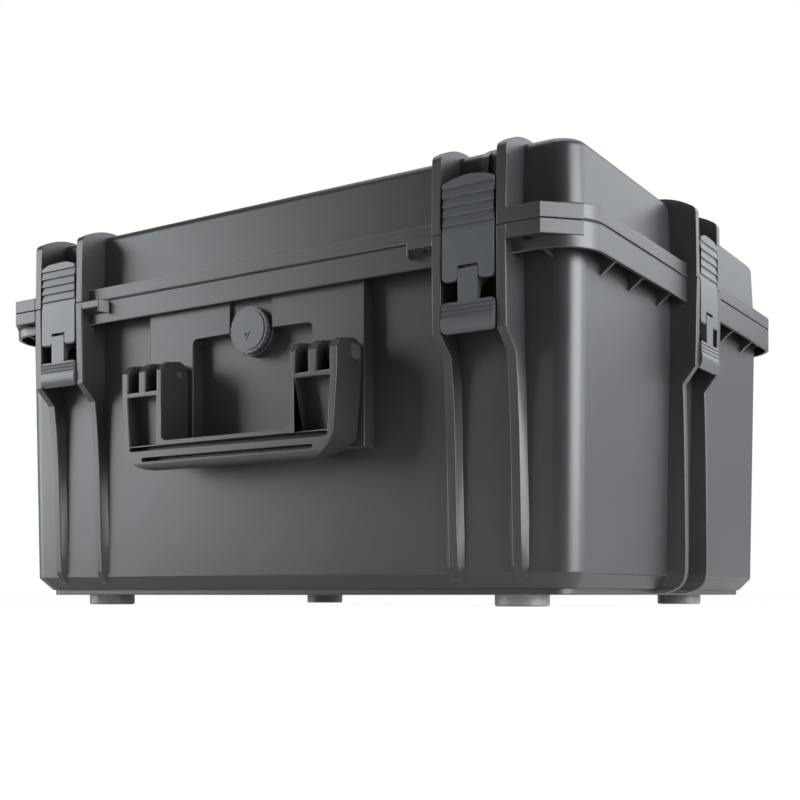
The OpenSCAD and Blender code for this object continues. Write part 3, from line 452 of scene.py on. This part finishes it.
def round_edges(bm, radius):
    """Bevel the sharp outer edges, tag the new faces and count the edges."""
    outer = [e for e in bm.edges if e.is_manifold and e.is_convex
             and e.calc_face_angle(0.0) > least_turn and e.calc_length() > 2.0 * radius]
    result = bmesh.ops.bevel(bm, geom=outer, offset=radius, offset_type="OFFSET",
                             segments=bevel_steps, profile=round_profile, affect="EDGES",
                             clamp_overlap=False)
    for face in bm.faces:
        face.tag = False
    for face in result["faces"]:
        face.tag = True
    bmesh.ops.remove_doubles(bm, verts=bm.verts, dist=weld_within)
    bm.normal_update()
    return len(outer)


print("an edge is rounded where it turns more than", round(math.degrees(least_turn)), "degrees")

# %% [markdown]
# A bevelled mesh can be shaded flat, which shows each narrow face as a stripe, or smooth,
# which lets the bevel bend the shading of the wide faces beside it, so that flat walls
# look swollen. Directions that are worked out, one for each corner of each face, avoid
# both. A wide face takes the mean of the wide faces that run on from it. A face of the
# bevel takes, at each corner, the direction of the wide face there that is nearest to
# its own, or the mean of all faces around a point that no wide face touches.

# %% Directions for smooth shading
runs_on_within = math.cos(math.radians(28.0))


def corner_direction(face, corner):
    around = corner.vert.link_faces
    wide = [f for f in around if not f.tag]
    lead = face
    if face.tag and wide:
        lead = max(wide, key=lambda f: f.normal.dot(face.normal))
    together = around
    if not lead.tag:
        together = [f for f in wide if f.normal.dot(lead.normal) > runs_on_within]
    total = Vector((0.0, 0.0, 0.0))
    for f in together:
        total += f.normal * f.calc_area()
    return tuple(total.normalized()) if total.length > 0.0 else tuple(face.normal)


def moulded_normals(bm):
    """One direction per face corner: wide faces stay flat, the roundings between them turn."""
    return [corner_direction(face, corner) for face in bm.faces for corner in face.loops]


print("faces within", round(math.degrees(math.acos(runs_on_within))), "degrees run on")

# %% [markdown]
# The shells and the handle have the widest radius, the ridged levers a smaller one and
# the thin locking tabs the smallest. A wider one was tried on the shells, and at 1.1 mm
# the new faces crossed each other on the small inner lugs. Each rounded copy then stands
# for its solid, which stays in the frame, unseen, for the motion.

# %% Rounded mouldings
edge_radius = {"base_shell": 0.0008, "lid_shell": 0.0008, "carry_handle": 0.0009}
for side in ("front_left", "front_right", "right_side", "left_side"):
    edge_radius[side + "_latch_lever"] = 0.0004
    edge_radius[side + "_lock_tab"] = 0.0003


def softened(node_name, radius):
    bm = clean_copy(node_name)
    before = len(bm.faces)
    rounded = round_edges(bm, radius)
    directions = moulded_normals(bm)
    piece = add_piece(node_name + "_moulding", bm, node_name)
    piece.data.shade_smooth()
    piece.data.normals_split_custom_set(directions)
    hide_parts(node_name)
    print(node_name, "edges rounded:", rounded, "faces:", before, "->",
          len(piece.data.polygons))
    return piece


mouldings = [softened(name, radius) for name, radius in edge_radius.items()]
print("mouldings:", len(mouldings))

# %% [markdown]
# Each leg of the handle has a pocket in its front. In the photograph its floor shows
# about 14 mm behind the face, in the same grey as the handle. The solid has an open
# window there, so the floor is a thin plate let into the window. The plate could be cut
# from the handle's mesh, but four corners, measured in from the sides and up from the
# foot of the handle, are plainer. They are moved out a little, so that the edges of the
# plate sink into the leg and leave no gap. Extruding the front face would make the
# plate too, but in an order of faces that changes from run to run, so its six faces are
# named one by one.

# %% Floors of the handle pockets
handle_low, handle_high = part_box("carry_handle")
pocket_inner_x = handle_high.x - 0.0435
pocket_outer_x_top = handle_high.x - 0.007
pocket_outer_x_foot = handle_high.x - 0.010
pocket_foot_z = handle_low.z + 0.022
pocket_top_z = handle_low.z + 0.0675
pocket_corners = [(pocket_inner_x, pocket_foot_z), (pocket_inner_x, pocket_top_z),
                  (pocket_outer_x_top, pocket_top_z), (pocket_outer_x_foot, pocket_foot_z)]
pocket_depth = 0.014
floor_thickness = 0.002
sink = 0.0004


def pocket_floor(side, name):
    """A plate in the window of one leg: side is -1 on the left and 1 on the right."""
    middle_x = sum(x for x, z in pocket_corners) / len(pocket_corners)
    middle_z = sum(z for x, z in pocket_corners) / len(pocket_corners)
    front_y = handle_low.y + pocket_depth
    back_y = front_y + floor_thickness
    bm = bmesh.new()
    front = []
    back = []
    for x, z in pocket_corners:
        x += math.copysign(sink, x - middle_x)
        z += math.copysign(sink, z - middle_z)
        front.append(bm.verts.new((side * x, front_y, z)))
        back.append(bm.verts.new((side * x, back_y, z)))
    bm.faces.new(front)
    bm.faces.new(back)
    for i in range(len(front)):
        bm.faces.new((front[i - 1], front[i], back[i], back[i - 1]))
    bmesh.ops.recalc_face_normals(bm, faces=bm.faces)
    return add_piece(name, bm, "carry_handle")


pocket_floors = [pocket_floor(-1, "left_pocket_floor"), pocket_floor(1, "right_pocket_floor")]
print("pocket floors:", [p.name for p in pocket_floors])
